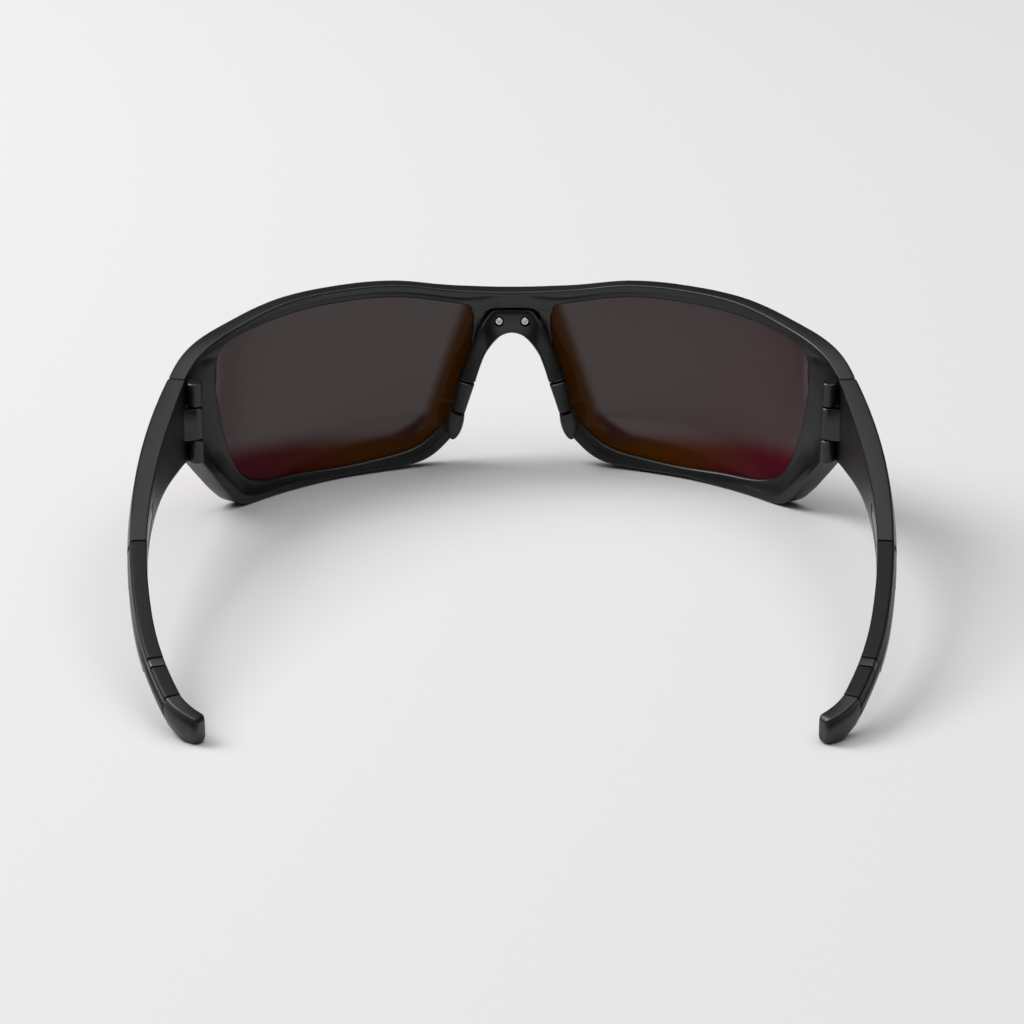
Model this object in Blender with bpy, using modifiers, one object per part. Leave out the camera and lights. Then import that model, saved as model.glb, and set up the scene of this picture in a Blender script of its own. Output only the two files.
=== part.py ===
"""Wrap-around sport sunglasses, full rim: frame, lenses, nosepiece and two folding temples.

Metres, +Z up, +X the wearer's right, +Y forward.  The rim's lower corners and the
temple tips stand on z = 0.  Design dimensions below are in millimetres.
"""
import math

import bmesh
import bpy
import numpy as np
from mathutils import Matrix

MM = 0.001

# ---- the wrap, seen from above: arcs of (radius, heading at the arc's end in degrees)
ARCS = ((80, 46), (46, 78), (190, 93), (240, 101), (110, 113), (14, 145), (30, 150))
APEX_Y = 79.7
LEAN = math.tan(math.radians(2.0))
MID_Z = 20.0
BULGE_R = 90.0

# ---- frame front
SPLIT_S = 94.2
GROOVE = 1.0
LENS_REACH = 0.5
GROOVE_FRONT = 0.6
GROOVE_REAR = 3.4
LENS_FRONT = 1.0
LENS_REAR = 3.0
EDGE_FRONT = 0.8
EDGE_REAR = 0.5
RECESS_START = 1.5
RECESS_END = 1.9
DISH = 1.0

# ---- temples
ARM_START = 94.5
GRIP_START = 150.5
GRIP_END = 186.3
BAND_END = 188.9
ARM_END = 197.9
TIP_END = 206.6
STEP = 1.3
GRIP_T = 1.0
EDGE_TOP = 0.7
GAP = 0.3

# ---- hinge
AXIS_X = 64.7
AXIS_Y = 27.6
BARREL_R = 1.5
BORE_R = 0.95
PIN_R = 0.65
KNUCKLE_Z = (16.2, 21.1, 21.4, 28.1, 28.4, 33.4)
FRAME_WEB = (2.9, 6.0)
ARM_WEB = (2.6, -2.2)

# ---- nosepiece screws
SCREW_X = 2.8
SCREW_Z = 32.3
HEAD_R = 0.85
SHANK_R = 0.45
HOLE_R = 0.75
SINK_R = 1.15

# ---- making
ROUND = 20
SEAM_TURN = 0.11
WELD = 0.00001
BOTH = (1.0, -1.0)

# Stations round one lens opening: opening edge (s, z), outer edge (s, z), rear depth at
# the opening and at the outer edge.  s runs along the wrap from the centre line.
# The brow is 3 deep, the lower rim 2, and the endpiece is 18 tall at the hinge.
TOP = (
    ((10, 36), (0, 39), 4.4, 5.2),
    ((15, 37), (14, 40), 4.4, 5.0),
    ((27, 39), (27, 42), 4.3, 4.8),
    ((40, 39.5), (40, 42.5), 4.2, 4.5),
    ((55, 39), (56, 42), 4.2, 4.4),
    ((68, 37.5), (71, 39.5), 4.2, 4.4),
    ((76, 36), (82, 37.5), 4.2, 4.4),
    ((78, 33), (SPLIT_S, 34), 4.2, 3.9),
)
END = (
    ((78, 33), (SPLIT_S, 34), 4.2, 3.9),
    ((78, 28), (SPLIT_S, 27), 4.2, 3.9),
    ((77, 24), (SPLIT_S, 21), 4.2, 3.9),
    ((76, 20), (SPLIT_S, 16), 4.2, 3.9),
)
BOTTOM = (
    ((76, 20), (SPLIT_S, 16), 4.2, 3.9),
    ((75.5, 18), (90, 15.5), 4.2, 4.6),
    ((74.5, 15.5), (86, 13), 4.2, 4.8),
    ((73, 11.5), (81, 8.5), 4.2, 5.0),
    ((70.5, 7.5), (76.5, 4), 4.2, 5.0),
    ((67, 5), (72.5, 1), 4.2, 4.8),
    ((61, 3.5), (66, 0), 4.1, 4.5),
    ((52, 3), (54, 0), 4.0, 4.1),
    ((42, 2.5), (42, 0.5), 4.0, 4.0),
    ((32, 3), (32, 0.5), 4.0, 4.0),
    ((23, 4.5), (21.5, 1.5), 4.0, 4.1),
    ((17.5, 8), (15, 5.5), 4.1, 4.2),
    ((14, 12), (11.5, 10.5), 4.2, 4.2),
    ((11, 19.5), (8.5, 19), 4.2, 4.2),
    ((9.5, 26.5), (7, 27), 4.2, 4.2),
    ((9, 30), (5, 31), 4.2, 2.4),
    ((9, 32), (0, 32), 4.2, 2.2),
)
CENTRE = (
    ((9, 32), (0, 32), 4.2, 2.2),
    ((9, 33.5), (0, 33.5), 4.2, 2.2),
    ((9.5, 34.5), (0, 35.5), 4.2, 2.2),
    ((9.5, 35), (0, 36.5), 4.3, 5.2),
    ((10, 36), (0, 39), 4.4, 5.2),
)
LENS_CENTRE = (43, 20.5)
LENS_RINGS = (0.0, 0.35, 0.65, 0.9, 1.0)

# Temples: the top edge falls straight, the height and thickness run through (s, value)
ARM_TOP = 34.0
ARM_FALL = 0.26
ARM_HEIGHT = ((94.5, 18), (104, 15), (116, 11.5), (125, 9.5), (150, 6.2), (175, 5.2), (198, 5.2), (204, 6))
ARM_THICK = ((94.5, 3.9), (104, 4.2), (125, 4.0), (150, 3.3), (175, 3.1), (207, 3.1))
BELLY = 0.5
BELLY_FULL = 142.0

# Nosepiece stations: edge by the nose (x, z), edge by the lens (x, z), y and depth
SADDLE = (
    ((0, 29.5), (0, 35), 75.4, 2.4),
    ((2, 29), (3.5, 35), 75.4, 2.4),
    ((3.5, 28), (5, 34), 74.8, 2.4),
    ((5, 26.5), (6.5, 32), 73.5, 2.5),
    ((6, 25), (8, 29.5), 72.8, 2.5),
    ((7, 22.5), (9.5, 25.5), 72.2, 3),
    ((8, 19.5), (11.6, 20.5), 71.5, 4),
)
BLOCK = (
    ((8.1, 19.1), (11.7, 20.1), 71.5, 4.2),
    ((9.2, 16), (12.5, 16.5), 71, 4.5),
    ((10.2, 13), (13, 14), 70.5, 4.8),
)
PAD = (
    ((10.3, 12.5), (13.6, 13.4), 70.5, 5),
    ((10.6, 10.5), (14.2, 10.8), 70.3, 5),
    ((11.3, 8.6), (13.9, 8), 70.2, 4),
    ((12.3, 7.2), (13.3, 7), 70, 2.5),
)


# ---------------------------------------------------------------- numbers
def smooth(a, b, x):
    """0 below a, 1 above b, cubic between."""
    k = np.clip((np.asarray(x, float) - a) / (b - a), 0.0, 1.0)
    return k * k * (3.0 - 2.0 * k)


def plan(s):
    """Outer face seen from above at developed length s: x, y and heading."""
    s = np.asarray(s, float)
    x = np.zeros_like(s)
    y = np.full_like(s, APEX_Y)
    b = np.zeros_like(s)
    start, heading = 0.0, 0.0
    for radius, end in ARCS:
        turn = math.radians(end) - heading
        here = np.clip(s - start, 0.0, radius * turn) / radius
        x += radius * (np.sin(heading + here) - math.sin(heading))
        y -= radius * (math.cos(heading) - np.cos(heading + here))
        b += here
        start += radius * turn
        heading = math.radians(end)
    return x, y, b


def wrap(s, z, t):
    """Point at length s, height z and depth t inside the outer face, in millimetres."""
    s, z, t = np.broadcast_arrays(*(np.asarray(v, float) for v in (s, z, t)))
    x, y, b = plan(s)
    front = 1.0 - smooth(66.0, 92.0, s)
    depth = t + front * (z - MID_Z) ** 2 / (2.0 * BULGE_R)
    y = y - depth * np.cos(b) + front * LEAN * (z - MID_Z)
    return np.stack((x - depth * np.sin(b), y, z), axis=-1)


def through(knots, divisions):
    """Catmull-Rom curve through the knots, first and last included."""
    p = np.asarray(knots, float)
    ends = (2.0 * p[:1] - p[1:2], p, 2.0 * p[-1:] - p[-2:-1])
    q = np.concatenate(ends)
    u = (np.arange(divisions) / divisions)[:, None]
    spans = []
    for i in range(len(p) - 1):
        a, b, c, d = q[i], q[i + 1], q[i + 2], q[i + 3]
        line = 2.0 * b + (c - a) * u
        line = line + (2.0 * a - 5.0 * b + 4.0 * c - d) * u**2
        line = line + (3.0 * b - a - 3.0 * c + d) * u**3
        spans.append(0.5 * line)
    return np.concatenate(spans + [p[-1:]])


def eased(knots, s):
    """Smooth curve through (s, value) knots, with each knot's slope from its neighbours."""
    k = np.asarray(knots, float)
    slope = np.gradient(k[:, 1], k[:, 0])
    i = np.clip(np.searchsorted(k[:, 0], s) - 1, 0, len(k) - 2)
    span = k[i + 1, 0] - k[i, 0]
    u = np.clip((s - k[i, 0]) / span, 0.0, 1.0)
    start = (1.0 + 2.0 * u) * (1.0 - u) ** 2 * k[i, 1] + u * (1.0 - u) ** 2 * span * slope[i]
    end = u * u * (3.0 - 2.0 * u) * k[i + 1, 1] + u * u * (u - 1.0) * span * slope[i + 1]
    return start + end


def temple_size(s):
    """Temple top, bottom, thickness and belly at length s; the tip's underside rests on z = 0."""
    s = np.asarray(s, float)
    top = ARM_TOP - ARM_FALL * (s - ARM_START)
    bottom = np.maximum(top - eased(ARM_HEIGHT, s), 0.0)
    return top, bottom, eased(ARM_THICK, s), BELLY * smooth(ARM_START, BELLY_FULL, s)


# ---------------------------------------------------------------- Blender helpers
def clear_scene():
    for item in list(bpy.data.objects):
        bpy.data.objects.remove(item, do_unlink=True)
    for item in list(bpy.data.collections):
        bpy.data.collections.remove(item)


def collection(name):
    made = bpy.data.collections.new(name)
    bpy.context.scene.collection.children.link(made)
    return made


def material(name, colour, metallic, roughness):
    made = bpy.data.materials.new(name)
    made.use_nodes = True
    shader = made.node_tree.nodes["Principled BSDF"]
    shader.inputs["Base Color"].default_value = (*colour, 1.0)
    shader.inputs["Metallic"].default_value = metallic
    shader.inputs["Roughness"].default_value = roughness
    return made


def solid(name, verts, faces, where, mat=None, origin=(0.0, 0.0, 0.0), flip=False):
    """A mesh object from millimetre points and faces, mirrored to the left when flip is set."""
    verts = np.asarray(verts, float)
    if flip:
        verts = verts * (-1.0, 1.0, 1.0)
        origin = (-origin[0], *origin[1:])
    mesh = bpy.data.meshes.new("points")
    mesh.from_pydata(verts.tolist(), [], faces)
    work = bmesh.new()
    work.from_mesh(mesh)
    bpy.data.meshes.remove(mesh)
    return from_bmesh(name, work, where, mat, origin)


def combine(target, other, operation):
    modifier = target.modifiers.new(operation.lower() + "_" + other.name, "BOOLEAN")
    modifier.operation = operation
    modifier.solver = "EXACT"
    modifier.object = other


def tube_faces(rings, around):
    """Quads between successive closed rings, with flat caps."""
    faces = []
    for i in range(rings - 1):
        for j in range(around):
            k = (j + 1) % around
            a = i * around
            b = a + around
            faces.append((a + j, a + k, b + k, b + j))
    faces.append(tuple(reversed(range(around))))
    last = (rings - 1) * around
    faces.append(tuple(last + j for j in range(around)))
    return faces


def upright(x, y, z0, z1, radius):
    """Radius, length and place of a cylinder along Z."""
    return radius, z1 - z0, Matrix.Translation((x, y, (z0 + z1) / 2.0))


def along_y(x, y0, y1, radius, z):
    """Radius, length and place of a cylinder along Y."""
    place = Matrix.Translation((x, (y0 + y1) / 2.0, z))
    return radius, y1 - y0, place @ Matrix.Rotation(math.pi / 2.0, 4, "X")


def add_cylinder(work, radius, length, place, sign=1.0):
    """A cylinder primitive, turned a little so that no side is square to the wrap."""
    place = place @ Matrix.Rotation(SEAM_TURN, 4, "Z")
    made = bmesh.ops.create_cone(
        work, cap_ends=True, segments=ROUND, radius1=radius, radius2=radius, depth=length, matrix=place
    )
    for v in made["verts"]:
        v.co.x *= sign
    return made["verts"]


def add_knuckle(work, z0, z1, web, sign=1.0):
    """A hinge barrel drawn out to an edge at the web's offset from the axis: their hull."""
    work_verts = add_cylinder(work, *upright(AXIS_X, AXIS_Y, z0, z1, BARREL_R))
    edge = [work.verts.new((AXIS_X + web[0], AXIS_Y + web[1], z)) for z in (z0, z1)]
    faces = [f for f in work.faces if f.verts[0] in work_verts]
    bmesh.ops.delete(work, geom=faces, context="FACES_ONLY")
    bmesh.ops.convex_hull(work, input=work_verts + edge)
    for v in work_verts + edge:
        v.co.x *= sign


def from_bmesh(name, work, where, mat=None, origin=(0.0, 0.0, 0.0)):
    """A closed mesh object from millimetre geometry, normals outward."""
    bmesh.ops.translate(work, verts=work.verts, vec=[-v for v in origin])
    bmesh.ops.scale(work, verts=work.verts, vec=(MM, MM, MM))
    bmesh.ops.triangulate(work, faces=work.faces)
    bmesh.ops.recalc_face_normals(work, faces=work.faces)
    for face in work.faces:
        face.smooth = True
    mesh = bpy.data.meshes.new(name)
    work.to_mesh(mesh)
    work.free()
    made = bpy.data.objects.new(name, mesh)
    made.location = [v * MM for v in origin]
    where.objects.link(made)
    if mat is not None:
        mesh.materials.append(mat)
    else:
        made.hide_render = True
        made.display_type = "WIRE"
    return made


def cylinders(name, shapes, signs, where, mat=None, origin=(0.0, 0.0, 0.0)):
    """One object of cylinders, each made on the sides named by signs."""
    work = bmesh.new()
    for shape in shapes:
        for sign in signs:
            add_cylinder(work, *shape, sign)
    return from_bmesh(name, work, where, mat, origin)


def knuckles(name, heights, web, signs, where):
    work = bmesh.new()
    for z0, z1 in heights:
        for sign in signs:
            add_knuckle(work, z0, z1, web, sign)
    return from_bmesh(name, work, where)


# ---------------------------------------------------------------- frame front
def stations():
    """Opening edge, outer edge, rear depths and centre-line flag of every station."""
    runs = []
    for run, divisions in ((TOP, 2), (END, 1), (BOTTOM, 2), (CENTRE, 1)):
        flat = [(*a, *b, da, db) for a, b, da, db in run]
        runs.append(through(flat, divisions)[:-1])
    ring = np.concatenate(runs)
    ring[:, 3] = np.maximum(ring[:, 3], 0.0)
    return ring[:, 0:2], ring[:, 2:4], ring[:, 4], ring[:, 5], ring[:, 2] < 1e-6


def outline_distance(points, outer, centre):
    """Shortest distance from each point to the true outer edge."""
    edge = outer[~centre]
    edge = np.concatenate((outer[:1], edge, outer[~centre][-1:] * (0, 1)))
    a, b = edge[:-1], edge[1:]
    ab = b - a
    ap = points[..., None, :] - a
    k = np.clip((ap * ab).sum(-1) / np.maximum((ab * ab).sum(-1), 1e-9), 0, 1)
    return np.linalg.norm(ap - k[..., None] * ab, axis=-1).min(-1)


def rounded(distance, radius):
    """Height lost at an edge rounded over the radius."""
    inside = np.clip(radius - distance, 0.0, radius)
    return radius - np.sqrt(radius**2 - inside**2)


def front_sections():
    """Closed section loops (station, point, xyz) round one lens opening."""
    inner, outer, deep_in, deep_out, centre = stations()
    length = np.linalg.norm(outer - inner, axis=1)[:, None]
    aim = ((outer - inner) / length)[:, None, :]
    lip = np.full_like(length, 0.3)
    rim = length - np.minimum(0.8, 0.4 * length)
    far = length - np.minimum(0.25, 0.1 * length)
    rows = np.concatenate((0 * lip, lip, (lip + rim) / 2, rim, far, length), axis=1)
    seat = centre & (deep_out < 3.0)
    rows[seat, 2:4] = RECESS_START, RECESS_END
    flat = inner[:, None, :] + aim * rows[..., None]
    away = outline_distance(flat, outer, centre)
    lost = np.array([0.25, 0, 0, 0, 0, 0])
    front = rounded(away, EDGE_FRONT) + lost
    ramp = np.clip(rows / np.maximum(length - 2.4, 0.5 * length), 0, 1) ** 2
    ramp[seat] = smooth(RECESS_START, RECESS_END, rows[seat])
    rear = deep_in[:, None] + (deep_out - deep_in)[:, None] * ramp
    rear = rear - DISH * smooth(6, 12, length) * np.sin(math.pi * rows / length)
    rear = rear - rounded(away, EDGE_REAR) - lost
    groove_q = np.array([0.0, GROOVE, GROOVE, 0.0])
    groove_t = np.array([GROOVE_REAR, GROOVE_REAR, GROOVE_FRONT, GROOVE_FRONT])
    groove = inner[:, None, :] + aim * groove_q[:, None]
    flat = np.concatenate((flat, flat[:, ::-1], groove), axis=1)
    depth = np.concatenate(
        (front, rear[:, ::-1], np.broadcast_to(groove_t, (len(inner), 4))), axis=1
    )
    return wrap(flat[..., 0], flat[..., 1], depth), centre


def front_half():
    """The right half of the frame front, open on the centre line."""
    loops, centre = front_sections()
    n, m = loops.shape[:2]
    outer_wall = m // 2 - 3
    faces = []
    for i in range(n):
        k = (i + 1) % n
        for j in range(m):
            if j == outer_wall and (centre[i] or i == 0) and (centre[k] or k == 0):
                continue
            p = (j + 1) % m
            faces.append((i * m + j, k * m + j, k * m + p, i * m + p))
    return loops.reshape(-1, 3), faces


def build_front(where, cutters, mat):
    front = solid("frame_front", *front_half(), where, mat)
    mirror = front.modifiers.new("other_half", "MIRROR")
    mirror.merge_threshold = WELD
    low, low_top, _, _, high, high_top = KNUCKLE_Z
    heights = ((low, low_top), (high, high_top))
    combine(front, knuckles("frame_knuckles", heights, FRAME_WEB, BOTH, cutters), "UNION")
    pin_bore = upright(AXIS_X, AXIS_Y, low - 1.0, high_top - 1.2, BORE_R)
    screw_hole = along_y(SCREW_X, 70.0, 78.2, HOLE_R, SCREW_Z)
    combine(front, cylinders("frame_holes", (pin_bore, screw_hole), BOTH, cutters), "DIFFERENCE")


# ---------------------------------------------------------------- lenses
def lens_mesh():
    inner, outer = stations()[:2]
    aim = outer - inner
    aim = aim / np.linalg.norm(aim, axis=1)[:, None]
    edge = inner + LENS_REACH * aim
    middle = np.array(LENS_CENTRE)
    rings = [middle + f * (edge - middle) for f in LENS_RINGS[1:]]
    n = len(edge)
    sheets = []
    for depth in (LENS_FRONT, LENS_REAR):
        flat = np.concatenate([middle[None]] + rings)
        sheets.append(wrap(flat[:, 0], flat[:, 1], depth))
    size = 1 + n * len(rings)
    faces = []
    for j in range(n):
        k = (j + 1) % n
        faces.append((0, 1 + j, 1 + k))
        faces.append((size, size + 1 + k, size + 1 + j))
        for r in range(len(rings) - 1):
            a, b = 1 + r * n, 1 + (r + 1) * n
            faces.append((a + j, b + j, b + k, a + k))
            faces.append((size + a + k, size + b + k, size + b + j, size + a + j))
        e = 1 + (len(rings) - 1) * n
        faces.append((e + j, size + e + j, size + e + k, e + k))
    return np.concatenate(sheets), faces


# ---------------------------------------------------------------- temples
def arm_section(s, top_drop, outer_in, inner_in, corner_top, corner_low, low=None):
    """Rounded section loops at the lengths s."""
    top, bottom, thick, belly = temple_size(s)
    top = top - top_drop
    swell = belly
    if low is not None:
        bottom = top - low
        swell = 0.0
    t0, t1 = outer_in, thick - inner_in
    height = top - bottom
    a, b = corner_top, corner_low
    half = 0.29
    # rows of (depth, height above the bottom), from the outer top edge round
    pts = (
        (t0, height - a),
        (t0 + half * a, height - half * a),
        (t0 + a, height),
        (t1 - 0.3, height),
        (t1, height - 0.3),
        (t1, 0.5 * height),
        (t1, b),
        (t1 - half * b, half * b),
        (t1 - b, 0.0 * height),
        (t0 + b, 0.0 * height),
        (t0 + half * b, half * b),
        (t0, b),
        (t0 - swell, 0.5 * (b + height - a)),
    )
    loops = []
    for depth, rise in pts:
        loops.append(wrap(s, bottom + rise, np.broadcast_to(depth, np.shape(s))))
    return np.stack(loops, axis=1)


def loft(name, loops, where, mat, origin, flip):
    n, m = loops.shape[:2]
    return solid(name, loops.reshape(-1, 3), tube_faces(n, m), where, mat, origin, flip)


def arm_lengths():
    front = np.array([94.5, 96.5, 100, 104, 110, 116, 122, 128, 134, 140, 145])
    rear = np.array([155, 160, 165, 170, 175, 180, 184, 188, 192, 196, ARM_END])
    return front, rear


def build_arm(side, flip, where, cutters, mat, axis):
    front, rear = arm_lengths()
    step = np.array([GRIP_START - GAP - 0.1, GRIP_START - GAP])
    s = np.concatenate((front, step, rear))
    drop = np.where(s > GRIP_START - GAP - 0.05, STEP, 0.0)
    corner = np.where(drop > 0.0, 0.2, EDGE_TOP)
    loops = arm_section(s, drop, 0.0, 0.0, corner, 1.0)
    arm = loft("temple_arm_" + side, loops, where, mat, axis, flip)
    sides = (-1.0,) if flip else (1.0,)
    heights = (KNUCKLE_Z[2:4],)
    combine(arm, knuckles("arm_knuckle_" + side, heights, ARM_WEB, sides, cutters), "UNION")
    bore = upright(AXIS_X, AXIS_Y, 18.0, 32.0, BORE_R)
    combine(arm, cylinders("arm_bore_" + side, (bore,), sides, cutters), "DIFFERENCE")
    for tag, pocket in (("outer", outer_inlay(0.0)), ("inner", inner_inlay(0.0))):
        cutter = loft("pocket_" + tag + "_" + side, pocket, cutters, None, (0, 0, 0), flip)
        combine(arm, cutter, "DIFFERENCE")


def strip(s, depths, heights):
    """Four-cornered section loops between two depths and two heights."""
    (t0, t1), (z0, z1) = depths, heights
    corners = ((t0, z1), (t1, z1), (t1, z0), (t0, z0))
    return np.stack([wrap(s, z, t) for t, z in corners], axis=1)


def outer_inlay(clear):
    """Inlay on the outer face; clear = 0 gives its pocket."""
    s = np.linspace(160.6 + clear, 185.4 - clear, 9)
    top, bottom, _, belly = temple_size(s)
    middle = (top - STEP + bottom) / 2.0
    high = 0.9 - clear
    near = -1.5 if clear == 0.0 else -belly + 0.05
    far = 0.7 - clear
    near, far = np.broadcast_to(near, s.shape), np.broadcast_to(far, s.shape)
    return strip(s, (near, far), (middle - high, middle + high))


def inner_inlay(clear):
    """Inlay on the inner face; clear = 0 gives its pocket."""
    s = np.linspace(133.4 + clear, 146.6 - clear, 6)
    top, bottom, thick, _ = temple_size(s)
    middle = (top + bottom) / 2.0
    high = 1.3 - clear
    near = thick - 0.8 + clear
    far = thick + 1.0 if clear == 0.0 else thick - 0.05
    return strip(s, (near, far), (middle - high, middle + high))


def build_temple(side, flip, where, cutters, mats):
    axis = (AXIS_X, AXIS_Y, 0.0)
    build_arm(side, flip, where, cutters, mats["nylon"], axis)
    parts = (
        ("temple_grip_", np.linspace(GRIP_START, GRIP_END, 9), mats["rubber"]),
        ("temple_band_", np.linspace(GRIP_END + GAP, BAND_END, 3), mats["band"]),
        ("temple_pad_", np.linspace(BAND_END + GAP, ARM_END, 5), mats["rubber"]),
    )
    for name, s, mat in parts:
        loops = arm_section(s, 0.0, 0.0, 0.0, EDGE_TOP, 0.1, low=GRIP_T)
        loft(name + side, loops, where, mat, axis, flip)
    s = np.array([ARM_END + GAP, 200.4, 202.6, 204.2, 205.4, 206.1])
    loops = arm_section(s, 0.0, 0.0, 0.0, 0.5, 0.8)
    middle = loops[-1].mean(axis=0)
    end = middle + (loops[-1] - middle) * 0.72
    end = end + (wrap(TIP_END, middle[2], 1.6) - wrap(206.1, middle[2], 1.6))
    end[:, 2] = np.maximum(end[:, 2], 0.5)
    loft("temple_tip_" + side, np.concatenate((loops, end[None])), where, mats["tip"], axis, flip)
    loft("temple_plate_" + side, outer_inlay(GAP), where, mats["plate"], axis, flip)
    loft("temple_inlay_" + side, inner_inlay(GAP), where, mats["plate"], axis, flip)
    pin = upright(AXIS_X, AXIS_Y, KNUCKLE_Z[0] + 0.3, KNUCKLE_Z[5] - 1.6, PIN_R)
    sides, origin = ((-1.0,), (-AXIS_X, AXIS_Y, 0.0)) if flip else ((1.0,), axis)
    cylinders("hinge_pin_" + side, (pin,), sides, where, mats["steel"], origin)


# ---------------------------------------------------------------- nosepiece
def bar_loops(stations, divisions):
    """Rounded sections between the two edges of a bar lying near the x-z plane."""
    flat = [(*near_nose, *near_lens, y, depth) for near_nose, near_lens, y, depth in stations]
    p = through(flat, divisions)
    zero = 0.0 * p[:, 0]
    middle = np.stack(((p[:, 0] + p[:, 2]) / 2.0, p[:, 4], (p[:, 1] + p[:, 3]) / 2.0), axis=1)
    across = np.stack((p[:, 2] - p[:, 0], zero, p[:, 3] - p[:, 1]), axis=1) / 2.0
    back = np.stack((zero, p[:, 5] / 2.0, zero), axis=1)
    c = 0.6
    corners = ((1, c), (c, 1), (-c, 1), (-1, c), (-1, -c), (-c, -1), (c, -1), (1, -c))
    return np.stack([middle + a * across + b * back for a, b in corners], axis=1)


def build_saddle(where, cutters, mat):
    left = [((-a[0], a[1]), (-b[0], b[1]), y, depth) for a, b, y, depth in reversed(SADDLE[1:])]
    loops = bar_loops(left + list(SADDLE), 2)
    saddle = loft("nosepiece", loops, where, mat, (0, 0, 0), False)
    shank = along_y(SCREW_X, 70.0, 78.0, HOLE_R, SCREW_Z)
    head = along_y(SCREW_X, 70.0, 75.4, SINK_R, SCREW_Z)
    combine(saddle, cylinders("saddle_shank_holes", (shank,), BOTH, cutters), "DIFFERENCE")
    combine(saddle, cylinders("saddle_head_holes", (head,), BOTH, cutters), "DIFFERENCE")


def build_screw(side, flip, where, cutters, mat):
    sides = (-1.0,) if flip else (1.0,)
    head = along_y(SCREW_X, 74.3, 75.1, HEAD_R, SCREW_Z)
    shank = along_y(SCREW_X, 74.8, 77.8, SHANK_R, SCREW_Z)
    screw = cylinders("nose_screw_" + side, (head,), sides, where, mat)
    combine(screw, cylinders("screw_shank_" + side, (shank,), sides, cutters), "UNION")


def build_nose(where, cutters, mats):
    build_saddle(where, cutters, mats["nylon"])
    for side, flip in (("right", False), ("left", True)):
        build_screw(side, flip, where, cutters, mats["steel"])
        loft("nose_block_" + side, bar_loops(BLOCK, 2), where, mats["block"], (0, 0, 0), flip)
        loft("nose_pad_" + side, bar_loops(PAD, 2), where, mats["rubber"], (0, 0, 0), flip)


# ---------------------------------------------------------------- everything
def build():
    clear_scene()
    where = collection("wrap_sunglasses")
    cutters = collection("cutters")
    cutters.hide_render = True
    mats = {
        "nylon": material("nylon_satin_black", (0.012, 0.012, 0.013), 0.0, 0.35),
        "rubber": material("rubber_black", (0.010, 0.010, 0.010), 0.0, 0.60),
        "band": material("nylon_band_black", (0.012, 0.012, 0.012), 0.0, 0.30),
        "block": material("nylon_block_black", (0.014, 0.014, 0.014), 0.0, 0.45),
        "tip": material("nylon_tip_black", (0.016, 0.016, 0.016), 0.0, 0.40),
        "plate": material("nylon_inlay_black", (0.014, 0.014, 0.014), 0.0, 0.30),
        "steel": material("steel_screw", (0.56, 0.57, 0.58), 1.0, 0.25),
        "lens": material("polycarbonate_mirror", (0.05, 0.02, 0.02), 0.0, 0.05),
    }
    build_front(where, cutters, mats["nylon"])
    verts, faces = lens_mesh()
    solid("lens_right", verts, faces, where, mats["lens"])
    solid("lens_left", verts, faces, where, mats["lens"], flip=True)
    build_nose(where, cutters, mats)
    for side, flip in (("right", False), ("left", True)):
        build_temple(side, flip, where, cutters, mats)


build()
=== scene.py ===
# %% [markdown]
# # Wrap-around sport sunglasses, seen from behind
#
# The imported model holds 26 solid pieces at their real size.  This lesson gives each one
# its fine surface and its finish.  Loading comes first, because every piece is placed by
# the model and rides on one of its three bodies: the front and the two folding temples.

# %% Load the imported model
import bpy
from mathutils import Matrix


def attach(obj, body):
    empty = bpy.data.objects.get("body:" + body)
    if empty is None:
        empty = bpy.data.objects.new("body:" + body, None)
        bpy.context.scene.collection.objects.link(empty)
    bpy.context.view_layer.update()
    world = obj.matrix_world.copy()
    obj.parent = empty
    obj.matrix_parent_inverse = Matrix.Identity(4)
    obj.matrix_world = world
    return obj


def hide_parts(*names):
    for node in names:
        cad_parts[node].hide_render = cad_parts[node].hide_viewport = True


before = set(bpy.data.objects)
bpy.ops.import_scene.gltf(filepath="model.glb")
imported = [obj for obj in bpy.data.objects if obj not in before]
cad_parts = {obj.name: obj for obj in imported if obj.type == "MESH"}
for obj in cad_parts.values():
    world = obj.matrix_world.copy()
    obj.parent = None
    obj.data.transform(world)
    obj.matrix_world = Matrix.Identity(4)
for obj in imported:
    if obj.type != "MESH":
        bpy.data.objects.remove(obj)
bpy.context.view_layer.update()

import math

import bpy
import numpy as np

MM = 0.001

# %% [markdown]
# ## The wrap
#
# A wrap-around frame is easiest to design unrolled: lengths run along its outer face, seen
# from above, and heights and depths stand square to it.  One function then rolls the flat
# design up.  The plan is a chain of arcs that meet without a corner, so a highlight runs
# along brow and temple without a break.  Bending each piece by hand would leave kinks.

# %% Roll up a flat design
ARCS = ((80, 46), (46, 78), (190, 93), (240, 101), (110, 113), (14, 145), (30, 150))
APEX_Y = 79.7
LEAN = math.tan(math.radians(2.0))
MID_Z = 20.0
BULGE_R = 90.0


def smooth(a, b, x):
    """0 below a, 1 above b, and the cubic 3k^2 - 2k^3 between them."""
    k = np.clip((np.asarray(x, float) - a) / (b - a), 0.0, 1.0)
    return k * k * (3.0 - 2.0 * k)


def plan(s):
    """Outer face from above: each arc adds radius x (change of sine, change of cosine)."""
    s = np.asarray(s, float)
    x, y, b = np.zeros_like(s), np.full_like(s, APEX_Y), np.zeros_like(s)
    start, heading = 0.0, 0.0
    for radius, end in ARCS:
        turn = math.radians(end) - heading
        here = np.clip(s - start, 0.0, radius * turn) / radius
        x += radius * (np.sin(heading + here) - math.sin(heading))
        y -= radius * (math.cos(heading) - np.cos(heading + here))
        b += here
        start += radius * turn
        heading = math.radians(end)
    return x, y, b


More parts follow.
